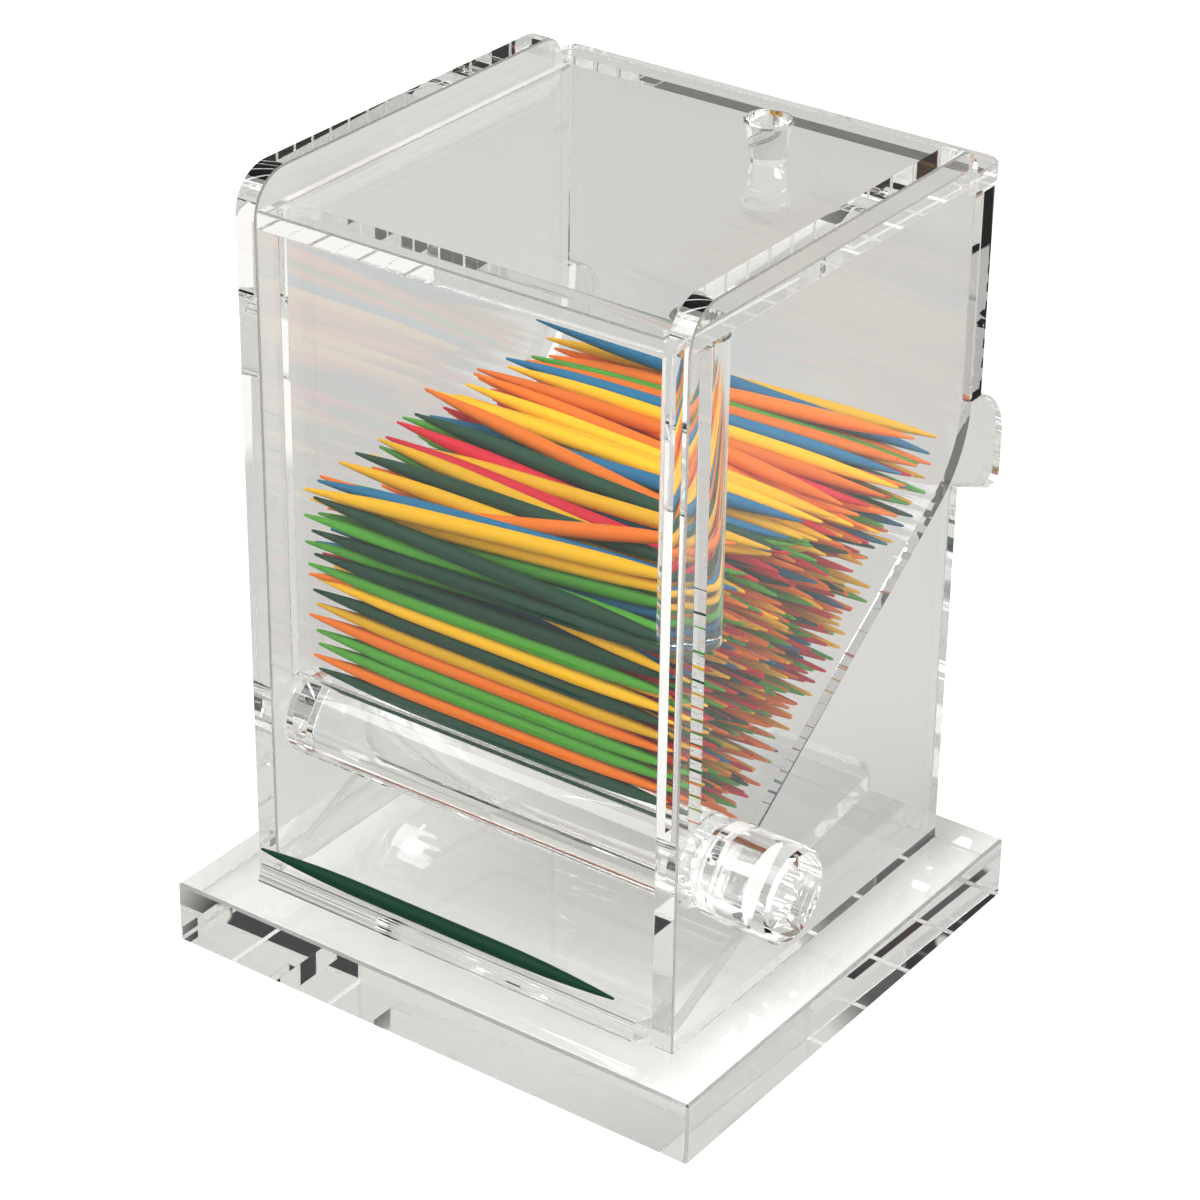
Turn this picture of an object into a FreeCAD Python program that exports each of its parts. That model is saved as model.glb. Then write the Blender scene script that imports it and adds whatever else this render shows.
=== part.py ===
"""Clear acrylic toothpick dispenser: a box of cemented sheets on a thick base, a turned roller
that hands out one pick at a time, a lift-off lid, and the coloured picks inside.

Millimetres.  Origin at the middle of the base's underside, X along the roller, -Y to the front,
Z up.
"""
import math
import os
import random

import FreeCAD
import Part

# Base
BASE_WIDTH = 93.5
BASE_DEPTH = 85.5
BASE_THICKNESS = 10.4
BASE_EDGE = 0.4

# Sheets
WALL = 3.8
SHEET = 3.0
EDGE_BREAK = 0.25
CEMENT = 0.05

# Picks
PICK_LENGTH = 65.0
PICK_DIAMETER = 2.2
PICK_TIP_DIAMETER = 0.7
PICK_TAPER = 14.0
PICK_SIDES = 6
PICK_SPACING = 0.3
PICK_SLIDE = 1.1
PICK_END_ROOM = 1.7

# Pile of picks in the hopper
PILE_HEIGHT = 68.0
PILE_FRONT_DROP = 2.0
PILE_PANEL_GAP = 0.15
PILE_ROLLER_GAP = 0.3
PILE_BACK_GAP = 1.0
PILE_SEED = 7
PICK_COLOURS = ("yellow", "orange", "red", "green", "blue", "dark_green")
COLOUR_SHARES = (5, 5, 5, 4, 3, 3)

# Pick lying on the tray
LOOSE_PICK_SHIFT = 3.6
LOOSE_PICK_AHEAD = 1.5
LOOSE_PICK_LIFT = 0.15

# Box
WALL_FRONT = 34.0
WALL_REAR = 37.0
BACK_STANDOFF = 2.0
BOX_HEIGHT = 109.9
EAR_HEIGHT = 4.6
EAR_FRONT_RADIUS = 6.5
EAR_REAR_RADIUS = 4.4

# Lugs on the side walls' rear edges
LUG_RADIUS = 9.0
LUG_REACH = 12.3
LUG_DROP = 9.3
LUG_UNDERSIDE_FALL = 22.8
LUG_CORNER = 2.5

# Front panel and the post behind it
PANEL_RECESS = 4.7
POST_DIAMETER = 6.35
POST_LENGTH = 46.4

# Back sheet, bent forward into the ramp
RAMP_ANGLE = 35.6
RAMP_DROP = 6.9
RAMP_BEND = 15.2
BEND_TO_SHOULDER = 0.5

# Roller
ROLLER_DIAMETER = 14.3
ROLLER_SETBACK = 9.5
ROLLER_HEIGHT = 26.7
ROLLER_END_PLAY = 0.3
ROLLER_GAP = 0.45
JOURNAL_DIAMETER = 8.0
RUNNING_FIT = 0.08
GROOVE_WIDTH = 2.8
GROOVE_DEPTH = 2.6
GROOVE_ANGLE = 228.0

# Roller knob
KNOB_LENGTH = 12.3
KNOB_STANDOFF = 1.2
KNOB_BORE_DEPTH = 7.0
KNOB_EDGE = 0.6
WASHER_DIAMETER = 12.4
WASHER_THICKNESS = 0.9

# Tray
TRAY_REAR = 20.6
TRAY_BREAK = 0.0
TRAY_BREAK_HEIGHT = 17.7
TRAY_SHELF_ANGLE = 6.7
TRAY_CHUTE_ANGLE = 23.2
TRAY_VALLEY = 32.2
TRAY_LIP_ANGLE = 20.0
TRAY_OVERHANG = 3.6
TRAY_BREAK_RADIUS = 12.0
TRAY_VALLEY_RADIUS = 5.0
TRAY_CORNER = 3.0

# Lid and its knob
LID_SIDE_GAP = 0.3
LID_SEAT_GAP = 0.3
LID_REAR_OVERHANG = 2.4
LID_CORNER = 2.5
LID_KNOB_X = 11.7
LID_KNOB_Y = 23.2
LID_KNOB_FOOT = 5.0
LID_KNOB_TOP = 7.2
LID_KNOB_HEIGHT = 6.4
LID_KNOB_RIM = 0.7
LID_KNOB_RIM_STEP = 0.25

# Places worked out from the sizes above
INNER_HALF = PICK_LENGTH / 2 + PICK_END_ROOM
INNER_WIDTH = 2 * INNER_HALF
BOX_HALF = INNER_HALF + WALL
BASE_TOP = BASE_THICKNESS
WALL_FOOT = BASE_TOP + CEMENT
BETWEEN = PICK_LENGTH + 2 * PICK_END_ROOM - 2 * CEMENT
LID_TOP = BASE_TOP + BOX_HEIGHT
LID_UNDERSIDE = LID_TOP - SHEET
SEAT = LID_UNDERSIDE - LID_SEAT_GAP
WALL_TOP = LID_TOP + EAR_HEIGHT
BACK_FACE = WALL_REAR + BACK_STANDOFF
PANEL_FRONT = -WALL_FRONT + PANEL_RECESS
PANEL_REAR = PANEL_FRONT + SHEET
ROLLER_RADIUS = ROLLER_DIAMETER / 2
ROLLER_Y = -WALL_FRONT + ROLLER_SETBACK
ROLLER_Z = BASE_TOP + ROLLER_HEIGHT
RAMP_SLOPE = math.tan(math.radians(RAMP_ANGLE))
RAMP_TOP_Z = ROLLER_Z - RAMP_DROP + (BACK_FACE - ROLLER_Y) * RAMP_SLOPE
RAMP_TANGENT = RAMP_BEND * math.tan(math.radians(90 - RAMP_ANGLE) / 2)
LUG_TOP = RAMP_TOP_Z + RAMP_TANGENT + BEND_TO_SHOULDER
PILE_TOP = BASE_TOP + PILE_HEIGHT


def vec(x, y, z):
    return FreeCAD.Vector(x, y, z)


def direction(degrees):
    """Unit step in the YZ plane, measured from +Y towards +Z."""
    return vec(0, math.cos(math.radians(degrees)), math.sin(math.radians(degrees)))


def rounded_wire(corners):
    """Closed wire through corners given as (point, radius); radius 0 keeps a corner sharp."""
    points = [point for point, _ in corners]
    starts, ends, arcs = [], [], []
    for i, (point, radius) in enumerate(corners):
        before = (points[i - 1] - point).normalize()
        after = (points[(i + 1) % len(points)] - point).normalize()
        if radius <= 0:
            starts.append(point)
            ends.append(point)
            arcs.append(None)
            continue
        half = before.getAngle(after) / 2
        tangent = radius / math.tan(half)
        centre = point + (before + after).normalize() * (radius / math.sin(half))
        middle = centre + (point - centre).normalize() * radius
        starts.append(point + before * tangent)
        ends.append(point + after * tangent)
        arcs.append(middle)
    edges = []
    for i, middle in enumerate(arcs):
        if middle is not None:
            edges.append(Part.Arc(starts[i], middle, ends[i]).toShape())
        following = starts[(i + 1) % len(starts)]
        if (following - ends[i]).Length > 1e-6:
            edges.append(Part.LineSegment(ends[i], following).toShape())
    return Part.Wire(edges)


def slab(corners, width, left=None):
    """Rounded outline in the YZ plane, extruded along X and centred unless left is given."""
    left = -width / 2 if left is None else left
    face = Part.Face(rounded_wire(corners))
    solid = face.extrude(vec(width, 0, 0))
    solid.translate(vec(left, 0, 0))
    return solid


def meet(point_a, dir_a, point_b, dir_b):
    """Where two lines in the YZ plane cross."""
    cross = dir_a.y * dir_b.z - dir_a.z * dir_b.y
    gap = point_b - point_a
    return point_a + dir_a * ((gap.y * dir_b.z - gap.z * dir_b.y) / cross)


def bent_sheet(points, radii, thickness):
    """Corner list of a bent sheet: points run along its upper face, radii belong to the bends.

    The sheet hangs on the right-hand side of the run.
    """
    steps = [(b - a).normalize() for a, b in zip(points, points[1:])]
    sides = [vec(0, step.z, -step.y) for step in steps]
    lower = [points[0] + sides[0] * thickness]
    lower_radii = []
    for i in range(1, len(points) - 1):
        start = points[i] + sides[i - 1] * thickness
        following = points[i] + sides[i] * thickness
        lower.append(meet(start, steps[i - 1], following, steps[i]))
        turn = steps[i - 1].y * steps[i].z - steps[i - 1].z * steps[i].y
        lower_radii.append(radii[i - 1] + math.copysign(thickness, turn))
    lower.append(points[-1] + sides[-1] * thickness)
    upper_corners = list(zip(points, [0, *radii, 0]))
    lower_corners = list(zip(lower, [0, *lower_radii, 0]))
    return upper_corners + lower_corners[::-1]


def cylinder_x(radius, start, length, y, z):
    return Part.makeCylinder(radius, length, vec(start, y, z), vec(1, 0, 0))


def base_plate():
    """Thick cast slab with all its edges broken by a small polished bevel."""
    block = Part.makeBox(BASE_WIDTH, BASE_DEPTH, BASE_THICKNESS,
                         vec(-BASE_WIDTH / 2, -BASE_DEPTH / 2, 0))
    return block.makeChamfer(BASE_EDGE, block.Edges)


def side_wall(side):
    """Side sheet with its two ears, the rear lug and the bearing hole; side is -1 or 1."""
    lug_edge = WALL_REAR + LUG_REACH
    rear = BACK_FACE - CEMENT
    lug_low = LUG_TOP - LUG_RADIUS - LUG_DROP
    fall = LUG_REACH * math.tan(math.radians(LUG_UNDERSIDE_FALL))
    corners = [
        (vec(0, -WALL_FRONT, WALL_FOOT), 0),
        (vec(0, -WALL_FRONT, WALL_TOP), EAR_FRONT_RADIUS),
        (vec(0, WALL_REAR, WALL_TOP), EAR_REAR_RADIUS),
        (vec(0, WALL_REAR, SEAT), 0),
        (vec(0, rear, SEAT), 0),
        (vec(0, rear, LUG_TOP), 0),
        (vec(0, lug_edge, LUG_TOP), min(LUG_RADIUS, lug_edge - rear - 0.1)),
        (vec(0, lug_edge, lug_low), LUG_CORNER),
        (vec(0, WALL_REAR, lug_low + fall), 0),
        (vec(0, WALL_REAR, WALL_FOOT), 0),
    ]
    left = INNER_HALF if side > 0 else -BOX_HALF
    wall = slab(corners, WALL, left)
    outline = [edge for edge in wall.Edges
               if edge.BoundBox.XLength < 0.01 and edge.BoundBox.ZMin > WALL_FOOT + 0.01
               or edge.BoundBox.XLength < 0.01 and edge.BoundBox.ZLength > WALL]
    wall = wall.makeChamfer(EDGE_BREAK, outline)
    bore = cylinder_x(JOURNAL_DIAMETER / 2 + RUNNING_FIT, left - 1, WALL + 2, ROLLER_Y, ROLLER_Z)
    return wall.cut(bore)


def front_panel():
    """Flat sheet set back between the walls; its lower edge just clears the roller."""
    reach = max(0.0, ROLLER_Y - PANEL_REAR)
    clear = ROLLER_RADIUS + ROLLER_GAP
    bottom = ROLLER_Z + math.sqrt(clear ** 2 - reach ** 2)
    panel = Part.makeBox(BETWEEN, SHEET, SEAT - bottom, vec(-BETWEEN / 2, PANEL_FRONT, bottom))
    lower = [edge for edge in panel.Edges
             if edge.BoundBox.ZMax < bottom + 0.01 and edge.BoundBox.XLength > SHEET]
    return panel.makeChamfer(EDGE_BREAK, lower)


def corner_post():
    """Clear rod cemented into the corner of panel and right wall, its top under the lid."""
    radius = POST_DIAMETER / 2
    x = INNER_HALF - CEMENT - radius
    foot = vec(x, PANEL_REAR + CEMENT + radius, SEAT - POST_LENGTH)
    post = Part.makeCylinder(radius, POST_LENGTH, foot)
    rims = [edge for edge in post.Edges if edge.BoundBox.ZLength < 0.01]
    return post.makeChamfer(EDGE_BREAK, rims)


def ramp_face():
    """Foot and slope direction of the ramp's upper face, cut square short of the roller."""
    slope = direction(RAMP_ANGLE)
    corner = vec(0, BACK_FACE, RAMP_TOP_Z)
    to_axis = vec(0, ROLLER_Y, ROLLER_Z) - corner
    along = to_axis.dot(slope)
    off_line = abs(to_axis.y * slope.z - to_axis.z * slope.y)
    clear = ROLLER_RADIUS + ROLLER_GAP
    stop = math.sqrt(max(0.0, clear ** 2 - off_line ** 2))
    return corner + slope * (along + stop), slope, corner


def back_and_ramp():
    """One sheet: a wide back behind the walls, then bent forward between them as the ramp."""
    foot, slope, corner = ramp_face()
    run = [foot, corner, vec(0, BACK_FACE, SEAT)]
    narrow = slab(bent_sheet(run, [RAMP_BEND], SHEET), BETWEEN)
    wide = Part.makeBox(2 * BOX_HALF, SHEET, SEAT - LUG_TOP, vec(-BOX_HALF, BACK_FACE, LUG_TOP))
    return narrow.fuse(wide).removeSplitter()


def delivery_tray():
    """Bent sheet under the roller: a shelf, the chute and a low lip at the front."""
    broken = vec(0, TRAY_BREAK, BASE_TOP + TRAY_BREAK_HEIGHT)
    shelf = direction(TRAY_SHELF_ANGLE)
    chute = direction(TRAY_CHUTE_ANGLE)
    rear = broken + shelf * ((TRAY_REAR - TRAY_BREAK) / shelf.y)
    valley = broken - chute * ((TRAY_VALLEY + TRAY_BREAK) / chute.y)
    lip = direction(-TRAY_LIP_ANGLE)
    end = valley - lip * ((WALL_FRONT + TRAY_OVERHANG - TRAY_VALLEY) / lip.y)
    run = [end, valley, broken, rear]
    corners = bent_sheet(run, [TRAY_VALLEY_RADIUS, TRAY_BREAK_RADIUS], SHEET)
    tray = slab(corners, BETWEEN)
    uprights = [edge for edge in tray.Edges
                if edge.BoundBox.XLength < 0.01 and edge.BoundBox.YMin > rear.y - 0.01]
    return tray.makeFillet(TRAY_CORNER, uprights)


def pick_roller():
    """Turned rod with a reduced journal at each end and one milled groove that takes one pick."""
    body_length = INNER_WIDTH - 2 * ROLLER_END_PLAY
    left = -body_length / 2
    body = cylinder_x(ROLLER_RADIUS, left, body_length, ROLLER_Y, ROLLER_Z)
    rims = [edge for edge in body.Edges if edge.BoundBox.XLength < 0.01]
    body = body.makeChamfer(EDGE_BREAK, rims)
    journal_end = BOX_HALF + KNOB_STANDOFF + KNOB_BORE_DEPTH - CEMENT
    journal = cylinder_x(JOURNAL_DIAMETER / 2, -BOX_HALF, BOX_HALF + journal_end,
                         ROLLER_Y, ROLLER_Z)
    outward = direction(GROOVE_ANGLE)
    across = vec(0, -outward.z, outward.y)
    axis = vec(left - 1, ROLLER_Y, ROLLER_Z)
    depth = outward * (ROLLER_RADIUS - GROOVE_DEPTH)
    half = across * (GROOVE_WIDTH / 2)
    mouth = outward * (ROLLER_RADIUS + 1)
    corners = [
        (axis + depth - half, GROOVE_WIDTH * 0.45),
        (axis + mouth - half, 0),
        (axis + mouth + half, 0),
        (axis + depth + half, GROOVE_WIDTH * 0.45),
    ]
    groove = Part.Face(rounded_wire(corners)).extrude(vec(body_length + 2, 0, 0))
    return body.cut(groove).fuse(journal).removeSplitter()


def roller_knob():
    """Short length of rod with a blind bore, cemented on the roller's right journal."""
    start = BOX_HALF + KNOB_STANDOFF
    knob = cylinder_x(ROLLER_RADIUS, start, KNOB_LENGTH, ROLLER_Y, ROLLER_Z)
    rims = [edge for edge in knob.Edges if edge.BoundBox.XLength < 0.01]
    knob = knob.makeChamfer(KNOB_EDGE, rims)
    bore = cylinder_x(JOURNAL_DIAMETER / 2 + CEMENT, start, KNOB_BORE_DEPTH,
                      ROLLER_Y, ROLLER_Z)
    return knob.cut(bore)


def roller_washer():
    """Thin ring on the right journal, against the knob."""
    start = BOX_HALF + KNOB_STANDOFF - CEMENT - WASHER_THICKNESS
    ring = cylinder_x(WASHER_DIAMETER / 2, start, WASHER_THICKNESS, ROLLER_Y, ROLLER_Z)
    bore = cylinder_x(JOURNAL_DIAMETER / 2 + CEMENT, start - 1, WASHER_THICKNESS + 2,
                      ROLLER_Y, ROLLER_Z)
    return ring.cut(bore)


def lid():
    """Flat sheet: it drops between the ears and spreads to the full width behind them."""
    tongue = INNER_HALF - LID_SIDE_GAP
    shoulder = WALL_REAR + LID_SIDE_GAP
    rear = BACK_FACE + SHEET + LID_REAR_OVERHANG
    corners = [
        (vec(-tongue, -WALL_FRONT, LID_UNDERSIDE), 0),
        (vec(tongue, -WALL_FRONT, LID_UNDERSIDE), 0),
        (vec(tongue, shoulder, LID_UNDERSIDE), 0),
        (vec(BOX_HALF, shoulder, LID_UNDERSIDE), 0),
        (vec(BOX_HALF, rear, LID_UNDERSIDE), LID_CORNER),
        (vec(-BOX_HALF, rear, LID_UNDERSIDE), LID_CORNER),
        (vec(-BOX_HALF, shoulder, LID_UNDERSIDE), 0),
        (vec(-tongue, shoulder, LID_UNDERSIDE), 0),
    ]
    sheet = Part.Face(rounded_wire(corners)).extrude(vec(0, 0, SHEET))
    rims = [edge for edge in sheet.Edges if edge.BoundBox.ZLength < 0.01]
    return sheet.makeChamfer(EDGE_BREAK, rims)


def lid_knob():
    """Small tapered knob turned with a thin rim round its top."""
    foot = LID_KNOB_FOOT / 2
    top = LID_KNOB_TOP / 2
    rim_foot = LID_KNOB_HEIGHT - LID_KNOB_RIM
    profile = Part.makePolygon([
        vec(0, 0, 0),
        vec(foot, 0, 0),
        vec(top - LID_KNOB_RIM_STEP, 0, rim_foot),
        vec(top, 0, rim_foot),
        vec(top, 0, LID_KNOB_HEIGHT - LID_KNOB_RIM_STEP),
        vec(top - LID_KNOB_RIM_STEP, 0, LID_KNOB_HEIGHT),
        vec(0, 0, LID_KNOB_HEIGHT),
        vec(0, 0, 0),
    ])
    knob = Part.Face(profile).revolve(vec(0, 0, 0), vec(0, 0, 1), 360)
    knob.translate(vec(LID_KNOB_X, LID_KNOB_Y, LID_TOP + CEMENT))
    return knob


def pick():
    """One round pick along X, tapered to both ends, with few flat sides."""
    half = PICK_LENGTH / 2
    stations = [
        (-half, PICK_TIP_DIAMETER / 2),
        (PICK_TAPER - half, PICK_DIAMETER / 2),
        (half - PICK_TAPER, PICK_DIAMETER / 2),
        (half, PICK_TIP_DIAMETER / 2),
    ]
    turns = [2 * math.pi * i / PICK_SIDES for i in range(PICK_SIDES)]
    rings = [[vec(x, radius * math.cos(turn), radius * math.sin(turn)) for turn in turns]
             for x, radius in stations]
    faces = [rings[0], rings[-1]]
    for near, far in zip(rings, rings[1:]):
        for i in range(PICK_SIDES):
            j = (i + 1) % PICK_SIDES
            faces.append([near[i], near[j], far[j], far[i]])
    shell = Part.Shell([Part.Face(Part.makePolygon([*corners, corners[0]])) for corners in faces])
    solid = Part.Solid(shell)
    return solid if solid.Volume > 0 else solid.reversed()


def pile_places():
    """Centres of the picks in the YZ plane: close rows parallel to the ramp."""
    foot, slope, corner = ramp_face()
    normal = vec(0, -slope.z, slope.y)
    radius = PICK_DIAMETER / 2
    pitch = PICK_DIAMETER + PICK_SPACING
    row_step = pitch * math.sqrt(3) / 2
    post_low = SEAT - POST_LENGTH
    post_back = PANEL_REAR + CEMENT + POST_DIAMETER
    run = (BACK_FACE - PANEL_REAR) + (PILE_TOP - ROLLER_Z)
    rows = math.ceil(run / row_step)
    columns = math.ceil(run / pitch)
    places = []
    for row in range(rows):
        start = foot + normal * (pitch / 2 + row * row_step) + slope * ((row % 2) * pitch / 2)
        for column in range(-columns // 2, columns):
            spot = start + slope * (column * pitch)
            fall = PILE_FRONT_DROP * (BACK_FACE - spot.y) / (BACK_FACE - PANEL_REAR)
            from_roller = math.hypot(spot.y - ROLLER_Y, spot.z - ROLLER_Z)
            before_foot = (spot - foot).dot(slope) < 0
            beside_roller = spot.y > ROLLER_Y + ROLLER_RADIUS and spot.z < ROLLER_Z + ROLLER_RADIUS
            blocked = (
                spot.y < PANEL_REAR + radius + PILE_PANEL_GAP
                or spot.y > BACK_FACE - radius - PILE_BACK_GAP
                or spot.z > PILE_TOP - fall
                or spot.z < ROLLER_Z
                or from_roller < ROLLER_RADIUS + radius + PILE_ROLLER_GAP
                or before_foot and beside_roller
                or spot.y < post_back + pitch / 2 and spot.z > post_low - pitch / 2
                or bend_blocks(spot, corner, slope, normal)
            )
            if not blocked:
                places.append(spot)
    return places


def bend_blocks(spot, corner, slope, normal):
    """Whether a pick would cut into the rounded bend at the head of the ramp."""
    centre = corner - slope * RAMP_TANGENT + normal * RAMP_BEND
    if (spot - corner).dot(slope) < -RAMP_TANGENT:
        return False
    room = (PICK_DIAMETER + PICK_SPACING) / 2
    return math.hypot(spot.y - centre.y, spot.z - centre.z) > RAMP_BEND - room


def pick_pile():
    """The picks in the hopper, sorted by colour."""
    chance = random.Random(PILE_SEED)
    one = pick()
    groups = {colour: [] for colour in PICK_COLOURS}
    for spot in pile_places():
        colour = chance.choices(PICK_COLOURS, COLOUR_SHARES)[0]
        copy = one.copy()
        slide = chance.uniform(-PICK_SLIDE, PICK_SLIDE)
        copy.translate(vec(slide, spot.y, spot.z))
        groups[colour].append(copy)
    return {colour: Part.makeCompound(group) for colour, group in groups.items() if group}


def dispensed_pick():
    """The pick that was handed out: it lies across the tray's lip, one tip before the wall."""
    lip_y = -WALL_FRONT - LOOSE_PICK_AHEAD
    broken_z = BASE_TOP + TRAY_BREAK_HEIGHT
    valley_z = broken_z - (TRAY_VALLEY + TRAY_BREAK) * math.tan(math.radians(TRAY_CHUTE_ANGLE))
    rise = (-lip_y - TRAY_VALLEY) * math.tan(math.radians(TRAY_LIP_ANGLE))
    radius = PICK_DIAMETER / 2
    stand = radius / math.cos(math.radians(TRAY_LIP_ANGLE)) + LOOSE_PICK_LIFT
    loose = pick()
    loose.translate(vec(-LOOSE_PICK_SHIFT, lip_y, valley_z + rise + stand))
    return loose


def main():
    os.makedirs("parts", exist_ok=True)
    pieces = {
        "base_plate": base_plate(),
        "left_side_wall": side_wall(-1),
        "right_side_wall": side_wall(1),
        "front_panel": front_panel(),
        "right_corner_post": corner_post(),
        "back_and_ramp": back_and_ramp(),
        "delivery_tray": delivery_tray(),
        "pick_roller": pick_roller(),
        "roller_knob": roller_knob(),
        "roller_washer": roller_washer(),
        "lid": lid(),
        "lid_knob": lid_knob(),
        "dispensed_pick": dispensed_pick(),
    }
    for colour, group in pick_pile().items():
        pieces[f"picks_{colour}"] = group
    for name, shape in pieces.items():
        shape.exportStep(f"parts/{name}.step")
        box = shape.BoundBox
        print(f"{name:20s} solids {len(shape.Solids):4d} valid {shape.isValid()} "
              f"x {box.XMin:7.2f} {box.XMax:7.2f}  y {box.YMin:7.2f} {box.YMax:7.2f}  "
              f"z {box.ZMin:7.2f} {box.ZMax:7.2f}")


main()
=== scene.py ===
"""Looks of the clear toothpick dispenser: polished clear sheets and rods, and dyed wooden picks."""
import math
import random

import bpy
import numpy as np
from mathutils import Matrix, Vector


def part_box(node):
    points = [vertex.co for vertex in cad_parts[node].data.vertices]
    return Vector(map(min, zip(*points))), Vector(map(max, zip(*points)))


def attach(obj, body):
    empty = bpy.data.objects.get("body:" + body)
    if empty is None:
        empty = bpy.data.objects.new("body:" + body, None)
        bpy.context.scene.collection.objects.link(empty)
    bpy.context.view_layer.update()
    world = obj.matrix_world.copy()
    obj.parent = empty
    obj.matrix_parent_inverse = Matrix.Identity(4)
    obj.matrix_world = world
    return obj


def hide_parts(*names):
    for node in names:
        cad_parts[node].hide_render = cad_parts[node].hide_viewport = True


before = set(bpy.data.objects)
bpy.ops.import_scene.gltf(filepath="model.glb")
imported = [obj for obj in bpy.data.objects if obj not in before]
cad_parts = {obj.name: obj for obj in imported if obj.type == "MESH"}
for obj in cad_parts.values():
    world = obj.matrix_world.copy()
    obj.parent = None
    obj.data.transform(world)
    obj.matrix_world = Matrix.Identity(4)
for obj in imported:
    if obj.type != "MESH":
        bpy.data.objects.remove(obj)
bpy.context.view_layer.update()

MM = 0.001

# Sizes repeated from the part, in millimetres
BASE_TOP = 10.4
INNER_HALF = 34.2
WALL = 3.8
WALL_FRONT = -34.0
WALL_REAR = 37.0
BACK_FACE = 39.0
BACK_JOINT_LOW = 85.0
CEMENT = 0.05
CEMENT_ROOM = 0.01
RAMP_TOP_Z = 75.66
RAMP_ANGLE = 35.6
RAMP_BEND = 15.2
PANEL_REAR = -26.3
POST_BACK = -19.9
POST_LOW = 70.6
ROLLER_Y = -24.5
ROLLER_Z = 37.1
ROLLER_RADIUS = 7.15

# The ramp and its bend in the YZ plane
RAMP_SLOPE = np.array([math.cos(math.radians(RAMP_ANGLE)), math.sin(math.radians(RAMP_ANGLE))])
RAMP_NORMAL = np.array([-RAMP_SLOPE[1], RAMP_SLOPE[0]])
RAMP_CORNER = np.array([BACK_FACE, RAMP_TOP_Z])
BEND_TANGENT = RAMP_BEND * math.tan(math.radians(90 - RAMP_ANGLE) / 2)
BEND_CENTRE = RAMP_CORNER - RAMP_SLOPE * BEND_TANGENT + RAMP_NORMAL * RAMP_BEND
ROLLER_AXIS = np.array([ROLLER_Y, ROLLER_Z])

# Camera, fitted to the photograph
CAMERA_PLACE = (281.54, -394.83, 325.75)
CAMERA_AZIMUTH = 35.467
CAMERA_ELEVATION = 29.108
CAMERA_ROLL = 0.767
FOCAL_PIXELS = 3788.2
PHOTO_PIXELS = 1200
SENSOR = 36.0
CLIP_START = 10.0

# One pick: its profile is (share of the length from the tip, relative thickness)
PICK_LENGTH = 65.0
PICK_RADIUS = 1.19
PICK_TIP_RADIUS = 0.22
PICK_TIP_FLAT = 0.45
PICK_TIP_ROUNDING = 0.25
PICK_SIDES = 12
PICK_PROFILE = ((0.012, 1.0), (0.05, 1.9), (0.11, 3.0), (0.18, 3.95), (0.26, 4.5), (0.34, 4.6))

# The pile: how many picks, where its rows start, and how they settle
PILE_COUNT = 318
PILE_ROOM = 0.02
PILE_ROW_START = 5
PILE_ROW_RISE = 0.88
PILE_BACK_ROOM = 2
PILE_TILT = 2.4
PILE_STEPS = 260
PILE_FALL = 0.10
PILE_PUSH = 0.32
PILE_ROLLER_ROOM = 0.1
PILE_APART = 99
PILE_SEED = 11
PILE_STATIONS = np.array([-1.0, -0.6, -0.2, 0.2, 0.6, 1.0])
STATION_RADII = np.array([0.45, 0.92, 1.0, 1.0, 0.92, 0.45]) * PICK_RADIUS

# Dyes, how common each is, and how each pick differs from its dye
PICK_TONES = {
    "yellow": (0.92, 0.48, 0.004),
    "orange": (0.86, 0.18, 0.005),
    "red": (0.62, 0.008, 0.03),
    "green": (0.08, 0.36, 0.03),
    "blue": (0.004, 0.14, 0.29),
    "dark_green": (0.004, 0.05, 0.024),
}
COLOUR_SHARES = {"yellow": 5.5, "orange": 6.0, "red": 4.5, "green": 3.6, "blue": 2.2,
                 "dark_green": 1.8}
COLOUR_SEED = 23
TONE_RANGE = (0.8, 1.12)
END_JITTER = 1.3

# Dyed wood
WOOD_ROUGHNESS = 0.6
WOOD_SPECULAR = 0.2
GRAIN_SCALE = (60, 2600, 2600)
GRAIN_DETAIL = 3.0
GRAIN_STRENGTH = 0.25
GRAIN_DEPTH = 0.1

# Clear plastic, and how much of a lamp's light it lets through
ACRYLIC_IOR = 1.49
ACRYLIC_TINT = (0.985, 0.99, 0.99, 1)
ACRYLIC_SHADOW = (0.94, 0.95, 0.95, 1)

# The sheets' narrow bevels carry a whitish painted highlight; a bevel is told by its slant and its
# width in millimetres
BEVELLED = ("base_plate", "left_side_wall", "right_side_wall", "front_panel", "lid")
BEVEL_WIDTH = 0.7
BEVEL_SLANT = (0.68, 0.73)
BEVEL_ROUGHNESS = 0.5
BEVEL_HIGHLIGHT_SHARE = 0.6
BEVEL_HIGHLIGHT_TONE = (0.95, 0.95, 0.94, 1)

# Paper floor: its glow is told apart for rays through plastic, camera rays and mirrored rays
FLOOR_SIZE = 6
FLOOR_GAP = 0.3
PAPER_TONE = (0.5, 0.495, 0.48, 1)
PAPER_GLOW = (1, 0.99, 0.96, 1)
PAPER_THROUGH_PLASTIC = 0.26
PAPER_TO_CAMERA = 0.85
PAPER_MIRRORED = (0.22, 0.22, 0.21, 1)

# Painted glare: the paper glows brighter to the right of the box, in millimetres from the middle
GLARE_FROM = 30.0
GLARE_FULL = 42.0
GLARE = 0.62

# The room around, as seen through plastic, as a dark patch, mirrored, and as light on the object
ROOM_TONE = (0.74, 0.73, 0.69, 1)
ROOM_DARK = (0.02, 0.02, 0.025, 1)
ROOM_MIRRORED = (0.31, 0.31, 0.30, 1)
ROOM_LIGHT = (0.38, 0.38, 0.38, 1)
WHITE = (1, 1, 1, 1)

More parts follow.
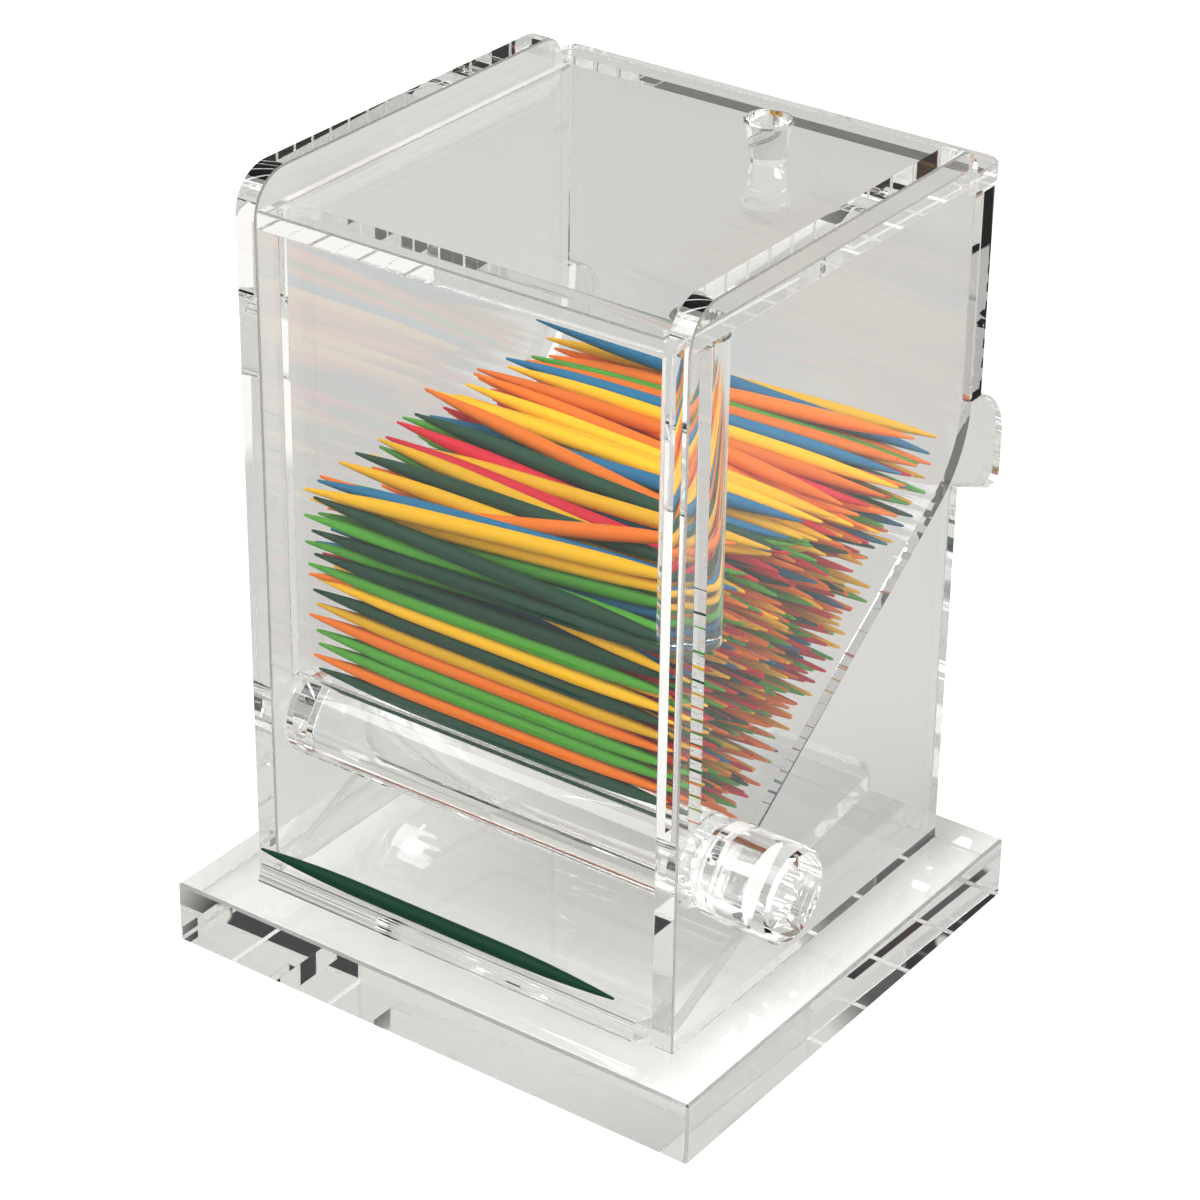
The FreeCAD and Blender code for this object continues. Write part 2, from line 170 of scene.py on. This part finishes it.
# Dark patches of the room: direction, outer and inner reach as cosines, and the noise that breaks
# the patch up, as its scale and threshold
DARK_PLACES = (((0.507, 0.712, 0.486), 0.90, 0.96, 11.0, 0.48),)
DARK_EDGE = 0.03

# Photo pixels behind which the base's side faces look dark, each with the axis, X or Y, along
# which the ray is turned back inside the base
DARK_PIXELS = (((292, 955), 0), ((925, 925), 1))
DARK_PIXEL_REACH = (0.9993, 0.9997, 60.0, 0.38)

# Lamps: name, place and side length in metres, power in watts
LAMPS = (("key", (-0.6, -0.5, 1.1), 0.7, 9.0), ("fill", (0.9, -0.3, 0.8), 0.8, 5.0))
LAMP_TARGET = (0, 0, 0.05)

# Bounces, enough for a ray to get through every sheet of the box
CLEAR_BOUNCES = 40
GLOSSY_BOUNCES = 16
TRANSPARENT_BOUNCES = 64


class Graph:
    """A shader graph under construction; an input is a plain value or another node's output."""

    def __init__(self, tree):
        tree.nodes.clear()
        self.nodes = tree.nodes
        self.links = tree.links

    def add(self, kind, inputs=None, operation=None):
        node = self.nodes.new("ShaderNode" + kind)
        if operation is not None:
            node.operation = operation
        for key, value in (inputs or {}).items():
            if isinstance(value, bpy.types.NodeSocket):
                self.links.new(value, node.inputs[key])
            else:
                node.inputs[key].default_value = value
        return node

    def shader(self, kind, inputs=None):
        return self.add(kind, inputs).outputs[0]

    def mix(self, factor, first, second):
        return self.shader("MixShader", {"Fac": factor, 1: first, 2: second})

    def mix_colour(self, factor, first, second):
        inputs = {"Fac": factor, "Color1": first, "Color2": second}
        return self.add("MixRGB", inputs).outputs["Color"]

    def math(self, operation, *values):
        return self.add("Math", dict(enumerate(values)), operation).outputs["Value"]

    def vector(self, operation, *values):
        return self.add("VectorMath", dict(enumerate(values)), operation).outputs["Vector"]

    def map_range(self, value, low, high, to_low=0.0, to_high=1.0):
        inputs = {"Value": value, "From Min": low, "From Max": high, "To Min": to_low,
                  "To Max": to_high}
        return self.add("MapRange", inputs).outputs["Result"]

    def axes(self, vector):
        return self.add("SeparateXYZ", {0: vector}).outputs

    def only_mirrored(self, rays):
        """1 for a ray that was last mirrored, 0 for one that came through plastic."""
        apart = self.math("SUBTRACT", rays["Is Glossy Ray"], rays["Is Transmission Ray"])
        return self.math("MAXIMUM", apart, 0.0)

    def output(self, kind, surface):
        self.add(kind, {"Surface": surface})


def new_material(name):
    made = bpy.data.materials.new(name)
    made.use_nodes = True
    return made, Graph(made.node_tree)


def cement_zones():
    """Films of cement on the right-hand side, as (low corner, high corner); the left mirrors it."""
    panel_low, panel_high = (Vector(corner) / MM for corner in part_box("front_panel"))
    outer = INNER_HALF + WALL
    wall_foot = ((INNER_HALF, WALL_FRONT, BASE_TOP), (outer, WALL_REAR, BASE_TOP + CEMENT))
    panel_side = ((INNER_HALF - CEMENT, panel_low.y, panel_low.z),
                  (INNER_HALF, panel_high.y, panel_high.z))
    back_face = ((INNER_HALF, BACK_FACE - CEMENT, BACK_JOINT_LOW),
                 (outer, BACK_FACE, panel_high.z))
    return wall_foot, panel_side, back_face


def cemented(graph):
    """1 where two sheets are cemented together, so that light passes straight through."""
    place = graph.axes(graph.add("NewGeometry").outputs["Position"])
    folded = {"X": graph.math("ABSOLUTE", place["X"]), "Y": place["Y"], "Z": place["Z"]}
    point = graph.add("CombineXYZ", folded).outputs["Vector"]
    mask = 0.0
    for low, high in cement_zones():
        middle = [(a + b) / 2 * MM for a, b in zip(low, high)]
        half = [((b - a) / 2 + CEMENT_ROOM) * MM for a, b in zip(low, high)]
        offset = graph.vector("ABSOLUTE", graph.vector("SUBTRACT", point, middle))
        beyond = graph.axes(graph.vector("SUBTRACT", offset, half))
        furthest = graph.math("MAXIMUM", beyond["X"], beyond["Y"])
        furthest = graph.math("MAXIMUM", furthest, beyond["Z"])
        mask = graph.math("MAXIMUM", mask, graph.math("LESS_THAN", furthest, 0.0))
    return mask


def clear_acrylic():
    """Polished clear plastic; lamps shine through it for what lies inside."""
    made, graph = new_material("clear_acrylic_sheet")
    glass = graph.shader("BsdfPrincipled", {
        "Base Color": ACRYLIC_TINT, "Roughness": 0.0, "IOR": ACRYLIC_IOR,
        "Transmission Weight": 1.0})
    passing = graph.shader("BsdfTransparent", {"Color": ACRYLIC_SHADOW})
    shadow = graph.add("LightPath").outputs["Is Shadow Ray"]
    sheet = graph.mix(shadow, glass, passing)
    straight = graph.shader("BsdfTransparent")
    graph.output("OutputMaterial", graph.mix(cemented(graph), sheet, straight))
    return made


def painted_highlight_edge():
    """The narrow bevels: rough clear plastic mixed with a whitish translucent colour, a painted
    highlight that makes them look whitish.
    """
    made, graph = new_material("acrylic_edge_painted_highlight")
    rough = graph.shader("BsdfPrincipled", {
        "Roughness": BEVEL_ROUGHNESS, "IOR": ACRYLIC_IOR, "Transmission Weight": 1.0})
    # A whitish translucent colour: a painted highlight along the bevels
    painted_highlight = graph.shader("BsdfTranslucent", {"Color": BEVEL_HIGHLIGHT_TONE})
    highlighted_edge = graph.mix(BEVEL_HIGHLIGHT_SHARE, rough, painted_highlight)
    shadow = graph.add("LightPath").outputs["Is Shadow Ray"]
    straight = graph.shader("BsdfTransparent")
    graph.output("OutputMaterial", graph.mix(shadow, highlighted_edge, straight))
    return made


def dyed_wood():
    """Dyed wood: the dye's colour lies on the mesh, with a fine grain along each pick."""
    made, graph = new_material("dyed_wood")
    dye = graph.add("VertexColor")
    dye.layer_name = "dye"
    place = graph.add("TexCoord").outputs["Object"]
    stretched = graph.add("Mapping", {"Vector": place, "Scale": GRAIN_SCALE}).outputs["Vector"]
    grain = graph.add("TexNoise", {"Vector": stretched, "Scale": 1.0, "Detail": GRAIN_DETAIL})
    bump = graph.add("Bump", {
        "Height": grain.outputs["Fac"], "Strength": GRAIN_STRENGTH, "Distance": GRAIN_DEPTH * MM})
    wood = graph.shader("BsdfPrincipled", {
        "Base Color": dye.outputs["Color"], "Roughness": WOOD_ROUGHNESS,
        "Specular IOR Level": WOOD_SPECULAR, "Normal": bump.outputs["Normal"]})
    graph.output("OutputMaterial", wood)
    return made


def pile_start(chance):
    """The picks' ends (y, z) before they settle: close rows above the ramp, each a bit tilted."""
    start = []
    pitch = 2 * PICK_RADIUS + PILE_ROOM
    row = 0
    while len(start) < PILE_COUNT:
        z = ROLLER_Z + PILE_ROW_START + row * pitch * PILE_ROW_RISE
        ramp_y = BACK_FACE - (RAMP_TOP_Z - z) / math.tan(math.radians(RAMP_ANGLE))
        y = PANEL_REAR + PICK_RADIUS + (row % 2) * pitch / 2
        while y < min(ramp_y, BACK_FACE) - PILE_BACK_ROOM and len(start) < PILE_COUNT:
            start.append((y, z))
            y += pitch
        row += 1
    middle = np.array(start)
    tilt = chance.normal(0, PILE_TILT, middle.shape)
    return np.stack([middle - tilt, middle + tilt], axis=1)


def pushed_apart(spots, radius):
    """How far each spot is pushed by the neighbours that it overlaps."""
    gap = spots[:, None, :] - spots[None, :, :]
    far = np.sqrt((gap ** 2).sum(axis=2)) + np.eye(len(spots)) * PILE_APART
    short = np.clip(2 * radius - far, 0, None)
    return (gap / far[:, :, None] * short[:, :, None]).sum(axis=1) * PILE_PUSH


def kept_clear(spots, radius, beside_post):
    """The spots, moved out of the ramp, its bend, the roller, the post and the panel."""
    height = (spots - RAMP_CORNER) @ RAMP_NORMAL
    low = np.clip(radius - height, 0, None)
    moved = spots + low[:, None] * RAMP_NORMAL
    reach = moved - BEND_CENTRE
    span = np.sqrt((reach ** 2).sum(axis=1))
    past = ((moved - RAMP_CORNER) @ RAMP_SLOPE > -BEND_TANGENT) & (span > RAMP_BEND - radius)
    inward = reach / span[:, None] * (RAMP_BEND - radius) + BEND_CENTRE
    moved = np.where(past[:, None], inward, moved)
    away = moved - ROLLER_AXIS
    near = np.sqrt((away ** 2).sum(axis=1))
    keep = ROLLER_RADIUS + PILE_ROLLER_ROOM + radius
    moved = np.where((near < keep)[:, None], ROLLER_AXIS + away / near[:, None] * keep, moved)
    if beside_post:
        post = (moved[:, 1] > POST_LOW - radius) & (moved[:, 0] < POST_BACK + radius)
        shallow = moved[:, 1] - (POST_LOW - radius) < POST_BACK + radius - moved[:, 0]
        moved[:, 1] = np.where(post & shallow, POST_LOW - radius, moved[:, 1])
        moved[:, 0] = np.where(post & ~shallow, POST_BACK + radius, moved[:, 0])
    moved[:, 0] = np.maximum(moved[:, 0], PANEL_REAR + radius)
    return moved


def pile_ends():
    """Lets the picks settle: returns each pick's two ends (y, z), at x = -end and +end.

    Each pick is a stiff line between its ends. At a few stations along its length it is pushed
    out of its neighbours and out of what holds the pile, and it sinks a little each step.
    """
    ends = pile_start(np.random.default_rng(PILE_SEED))
    weight = np.stack([(1 - PILE_STATIONS) / 2, (1 + PILE_STATIONS) / 2], axis=1)
    share = weight / (weight ** 2).sum(axis=1, keepdims=True)
    last = len(PILE_STATIONS) - 1
    for step in range(PILE_STEPS):
        calm = 1 - step / PILE_STEPS
        ends[:, :, 1] -= PILE_FALL * calm
        for s, radius in enumerate(STATION_RADII):
            spots = ends[:, 0] * weight[s, 0] + ends[:, 1] * weight[s, 1]
            push = pushed_apart(spots, radius)
            ends += push[:, None, :] * share[s][None, :, None]
            spots = ends[:, 0] * weight[s, 0] + ends[:, 1] * weight[s, 1]
            moved = kept_clear(spots, radius, beside_post=s == last)
            ends += (moved - spots)[:, None, :] * share[s][None, :, None]
    return ends


def pick_stations():
    """Radius and place of each ring along a pick, the same from both tips."""
    full = PICK_PROFILE[-1][1]
    stations = [(PICK_TIP_RADIUS * PICK_TIP_FLAT, 0.0), (PICK_TIP_RADIUS, PICK_TIP_ROUNDING)]
    for part, size in PICK_PROFILE:
        stations.append((size / full * PICK_RADIUS, part * PICK_LENGTH))
    mirrored = [(size, PICK_LENGTH - place) for size, place in reversed(stations)]
    return stations + mirrored


def pick_mesh(name, placed):
    """One mesh of many picks; placed holds (left point, right point, colour) in millimetres."""
    points, faces, tones = [], [], []
    stations = pick_stations()
    ring = range(PICK_SIDES)
    for left, right, colour in placed:
        left, right = Vector(left), Vector(right)
        line = (right - left).normalized()
        middle = (left + right) / 2
        side = line.cross(Vector((0, 0, 1))).normalized()
        up = side.cross(line)
        first = len(points)
        for size, place in stations:
            centre = middle + line * (place - PICK_LENGTH / 2)
            for i in ring:
                turn = 2 * math.pi * i / PICK_SIDES
                spot = centre + side * (size * math.cos(turn)) + up * (size * math.sin(turn))
                points.append(spot * MM)
                tones.append(colour)
        last = first + (len(stations) - 1) * PICK_SIDES
        for a in range(first, last, PICK_SIDES):
            b = a + PICK_SIDES
            for i in ring:
                j = (i + 1) % PICK_SIDES
                faces.append((a + i, b + i, b + j, a + j))
        faces.append([first + i for i in ring])
        faces.append([last + i for i in reversed(ring)])
    mesh = bpy.data.meshes.new(name)
    mesh.from_pydata([tuple(p) for p in points], [], faces)
    mesh.update()
    dye = mesh.color_attributes.new("dye", "FLOAT_COLOR", "POINT")
    for entry, colour in zip(dye.data, tones):
        entry.color = (*colour, 1)
    for face in mesh.polygons:
        face.use_smooth = len(face.vertices) == 4
    made = bpy.data.objects.new(name, mesh)
    bpy.context.collection.objects.link(made)
    return made


def shaded(colour, chance):
    """The dye's colour, a little lighter or darker from pick to pick."""
    factor = chance.uniform(*TONE_RANGE)
    return tuple(min(1.0, channel * factor) for channel in colour)


def build_picks(wood):
    """The settled pile, one piece for each colour, and the loose pick on the tray."""
    chance = random.Random(COLOUR_SEED)
    names = list(PICK_TONES)
    shares = [COLOUR_SHARES[name] for name in names]
    groups = {name: [] for name in names}
    half = PICK_LENGTH / 2
    for (left_y, left_z), (right_y, right_z) in pile_ends():
        name = chance.choices(names, shares)[0]
        slide = chance.uniform(-END_JITTER, END_JITTER)
        left = (slide - half, left_y, left_z)
        right = (slide + half, right_y, right_z)
        groups[name].append((left, right, shaded(PICK_TONES[name], chance)))
    for name, placed in groups.items():
        picks = pick_mesh(f"round_picks_{name}", placed)
        picks.data.materials.append(wood)
        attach(picks, "box")
        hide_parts(f"picks_{name}")
    low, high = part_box("dispensed_pick")
    centre = (Vector(low) + Vector(high)) / 2 / MM
    reach = Vector((half, 0, 0))
    loose = pick_mesh("round_dispensed_pick",
                      [(centre - reach, centre + reach, PICK_TONES["dark_green"])])
    loose.data.materials.append(wood)
    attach(loose, "box")
    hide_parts("dispensed_pick")


def is_bevel(mesh, face):
    """Whether a face belongs to a narrow bevel."""
    slant = any(BEVEL_SLANT[0] < abs(part) < BEVEL_SLANT[1] for part in face.normal)
    corners = [mesh.vertices[i].co for i in face.vertices]
    shortest = min((a - b).length for a, b in zip(corners, corners[1:] + corners[:1]))
    return slant and shortest < BEVEL_WIDTH * MM


def dress_clear_nodes():
    """Clear plastic on all but the picks, with a whitish painted highlight on the sheets' bevels.
    """
    clear = clear_acrylic()
    highlighted_edge = painted_highlight_edge()
    for name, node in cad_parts.items():
        if "pick" in name and name != "pick_roller":
            continue
        mesh = node.data
        mesh.materials.clear()
        mesh.materials.append(clear)
        if name in BEVELLED:
            mesh.materials.append(highlighted_edge)
        for face in mesh.polygons:
            face.material_index = int(name in BEVELLED and is_bevel(mesh, face))


def paper_floor():
    """Pale paper: white to the camera, light grey through plastic, darker as a reflection."""
    made, graph = new_material("pale_paper")
    rays = graph.add("LightPath").outputs
    place = graph.axes(graph.add("NewGeometry").outputs["Position"])
    plain = graph.map_range(rays["Is Camera Ray"], 0.0, 1.0, PAPER_THROUGH_PLASTIC,
                            PAPER_TO_CAMERA)
    # Painted glare: the paper's glow rises to the right of the box
    glare = graph.map_range(place["X"], GLARE_FROM * MM, GLARE_FULL * MM, 0.0, GLARE)
    glow = graph.shader("Emission", {
        "Color": PAPER_GLOW, "Strength": graph.math("MAXIMUM", plain, glare)})
    paper = graph.shader("BsdfDiffuse", {"Color": PAPER_TONE})
    lit = graph.shader("AddShader", {0: paper, 1: glow})
    mirrored = graph.shader("Emission", {"Color": PAPER_MIRRORED})
    graph.output("OutputMaterial", graph.mix(graph.only_mirrored(rays), lit, mirrored))
    bpy.ops.mesh.primitive_plane_add(size=FLOOR_SIZE, location=(0, 0, -FLOOR_GAP * MM))
    floor = bpy.context.object
    floor.name = "paper_floor"
    floor.data.materials.append(made)


def dark_patches(graph, place):
    """How dark the room is in a direction: patches broken up by noise."""
    dark = 0.0
    for centre, outer, inner, scale, threshold in DARK_PLACES + pixel_places():
        toward = graph.add("VectorMath", {0: place, 1: centre}, "DOT_PRODUCT").outputs["Value"]
        near = graph.map_range(toward, outer, inner)
        noise = graph.add("TexNoise", {"Vector": place, "Scale": scale, "Detail": 1.0})
        broken = graph.map_range(noise.outputs["Fac"], threshold, threshold + DARK_EDGE)
        dark = graph.math("MAXIMUM", dark, graph.math("MULTIPLY", near, broken))
    return dark


def studio_world():
    """White to the camera; off and through plastic a pale room, dark in a few places."""
    world = bpy.data.worlds.new("studio")
    bpy.context.scene.world = world
    world.use_nodes = True
    graph = Graph(world.node_tree)
    rays = graph.add("LightPath").outputs
    place = graph.add("TexCoord").outputs["Generated"]
    through = graph.mix_colour(dark_patches(graph, place), ROOM_TONE, ROOM_DARK)
    room = graph.mix_colour(graph.only_mirrored(rays), through, ROOM_MIRRORED)
    seen = graph.mix_colour(rays["Is Camera Ray"], room, WHITE)
    plastic = graph.math("MAXIMUM", rays["Is Glossy Ray"], rays["Is Transmission Ray"])
    shown = graph.math("MAXIMUM", plastic, rays["Is Camera Ray"])
    colour = graph.mix_colour(shown, ROOM_LIGHT, seen)
    graph.output("OutputWorld", graph.shader("Background", {"Color": colour}))


def soft_lamp(name, place, side, power):
    data = bpy.data.lights.new(name, "AREA")
    data.shape = "SQUARE"
    data.size = side
    data.energy = power
    lamp = bpy.data.objects.new(name, data)
    lamp.location = place
    aim = Vector(LAMP_TARGET) - Vector(place)
    lamp.rotation_euler = aim.to_track_quat("-Z", "Y").to_euler()
    bpy.context.collection.objects.link(lamp)


def camera_axes():
    """The fitted camera's right, up and forward directions."""
    azimuth, elevation, roll = (math.radians(a) for a in
                                (CAMERA_AZIMUTH, CAMERA_ELEVATION, CAMERA_ROLL))
    forward = Vector((-math.sin(azimuth) * math.cos(elevation),
                      math.cos(azimuth) * math.cos(elevation), -math.sin(elevation)))
    right = Vector((math.cos(azimuth), math.sin(azimuth), 0))
    up = right.cross(forward)
    tilted_right = right * math.cos(roll) + up * math.sin(roll)
    tilted_up = up * math.cos(roll) - right * math.sin(roll)
    return tilted_right, tilted_up, forward


def pixel_places():
    """Dark patches where the rays of the chosen pixels leave the base, turned back inside it."""
    right, up, forward = camera_axes()
    centre = PHOTO_PIXELS / 2
    places = []
    for (column, row), axis in DARK_PIXELS:
        out = forward * FOCAL_PIXELS + right * (column - centre) - up * (row - centre)
        out.normalize()
        out[axis] = -out[axis]
        out.z = -out.z
        places.append((tuple(out), *DARK_PIXEL_REACH))
    return tuple(places)


def photo_camera():
    right, up, forward = camera_axes()
    turn = Matrix((right, up, -forward)).transposed().to_4x4()
    data = bpy.data.cameras.new("photo_camera")
    data.sensor_width = SENSOR
    data.lens = FOCAL_PIXELS / PHOTO_PIXELS * SENSOR
    data.clip_start = CLIP_START * MM
    camera = bpy.data.objects.new("photo_camera", data)
    camera.matrix_world = Matrix.Translation(Vector(CAMERA_PLACE) * MM) @ turn
    bpy.context.collection.objects.link(camera)
    bpy.context.scene.camera = camera


def light_paths():
    """Bounces enough for every sheet."""
    cycles = bpy.context.scene.cycles
    cycles.max_bounces = CLEAR_BOUNCES
    cycles.transmission_bounces = CLEAR_BOUNCES
    cycles.glossy_bounces = GLOSSY_BOUNCES
    cycles.transparent_max_bounces = TRANSPARENT_BOUNCES


dress_clear_nodes()
build_picks(dyed_wood())
paper_floor()
studio_world()
for lamp in LAMPS:
    soft_lamp(*lamp)
photo_camera()
light_paths()
bpy.context.scene.view_settings.view_transform = "Standard"
